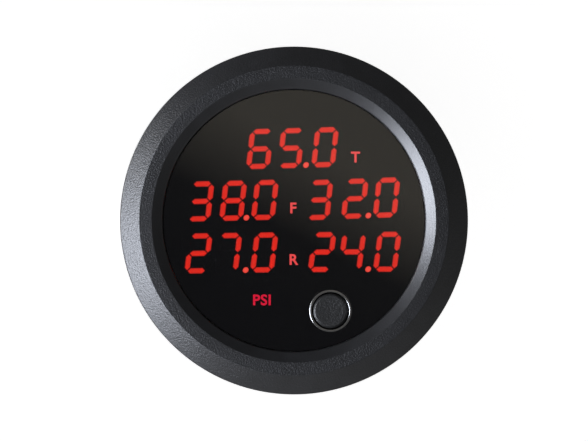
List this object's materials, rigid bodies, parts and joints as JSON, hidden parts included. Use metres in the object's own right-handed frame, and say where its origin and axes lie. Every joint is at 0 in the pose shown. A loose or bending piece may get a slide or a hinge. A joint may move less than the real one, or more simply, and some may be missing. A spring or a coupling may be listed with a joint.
{
  "type": "tyre pressure monitor gauge",
  "caption": "Round panel gauge with a lit digital tyre pressure display behind a smoked window, held by a strap clamp and thumb nuts.",
  "frame": {"origin": "on the gauge's axis, level with the ends of the thumb nuts, which it stands on", "axes": "+Z along the axis out of the display, +Y to the top of the display, +X to its right"},
  "size_m": [0.0524, 0.0524, 0.033],
  "materials": {
    "anodised_bezel": "bead-blasted, black anodised",
    "seal_rubber": "matte",
    "smoked_window": "smoked acrylic, polished",
    "black_plastic": "matte",
    "led_red": "black case with lit red segments",
    "board_laminate": "green solder mask",
    "brass": "bright",
    "zinc_steel": "bright zinc plated",
    "capacitor_can": "satin",
    "button_plastic": "satin",
    "chrome": "polished",
    "housing_plastic": "fine grained black",
    "nickel_plate": "bright nickel plated"
  },
  "bodies": {
    "case": {"bezel_ring": "anodised_bezel", "lens_gasket": "seal_rubber", "bezel_seal": "seal_rubber", "lens": "smoked_window", "display_mask": "black_plastic", "display_module_trailer": "led_red", "display_module_front_left": "led_red", "display_module_front_right": "led_red", "display_module_rear_left": "led_red", "display_module_rear_right": "led_red", "legend_lamp_trailer": "led_red", "legend_lamp_front": "led_red", "legend_lamp_rear": "led_red", "legend_lamp_unit": "led_red", "display_board": "board_laminate", "main_board": "board_laminate", "board_spacer_1": "brass", "board_spacer_2": "brass", "board_spacer_3": "brass", "board_screw_1": "zinc_steel", "board_screw_2": "zinc_steel", "board_screw_3": "zinc_steel", "pin_header": "black_plastic", "header_socket": "black_plastic", "microcontroller": "black_plastic", "radio_module": "zinc_steel", "inductor": "black_plastic", "voltage_regulator": "black_plastic", "capacitor": "capacitor_can", "buzzer": "black_plastic", "antenna_coil": "brass", "tact_switch": "black_plastic", "button_trim_ring": "chrome", "housing": "housing_plastic", "power_socket": "black_plastic", "socket_pin_1": "brass", "socket_pin_2": "brass", "socket_pin_3": "brass", "stud_left": "nickel_plate", "stud_right": "nickel_plate"},
    "button": {"button_cap": "button_plastic", "switch_plunger": "button_plastic"},
    "clamp": {"clamp_bracket": "zinc_steel", "flat_washer_left": "nickel_plate", "flat_washer_right": "nickel_plate", "lock_washer_left": "nickel_plate", "lock_washer_right": "nickel_plate"},
    "left_nut": {"thumb_nut_left": "nickel_plate"},
    "right_nut": {"thumb_nut_right": "nickel_plate"}
  },
  "joints": [
    {"name": "button_press", "type": "slide", "parent": "case", "child": "button", "axis": [0, 0, -1], "range_m": [0, 0.0006], "stiffness_N_per_m": 1500, "springref_m": -0.0004},
    {"name": "clamp_slide", "type": "slide", "parent": "case", "child": "clamp", "axis": [0, 0, -1], "range_m": [0, 0.004]},
    {"name": "left_nut_spin", "type": "hinge", "parent": "clamp", "child": "left_nut", "pos_m": [-0.0172, 0, 0.003], "axis": [0, 0, -1], "range_deg": [0, 2880]},
    {"name": "right_nut_spin", "type": "hinge", "parent": "clamp", "child": "right_nut", "pos_m": [0.0172, 0, 0.003], "axis": [0, 0, -1], "range_deg": [0, 2880]}
  ],
  "couplings": [
    {"joint": "left_nut_spin", "follows": "clamp_slide", "rad_per_m": 12566},
    {"joint": "right_nut_spin", "follows": "clamp_slide", "rad_per_m": 12566}
  ]
}
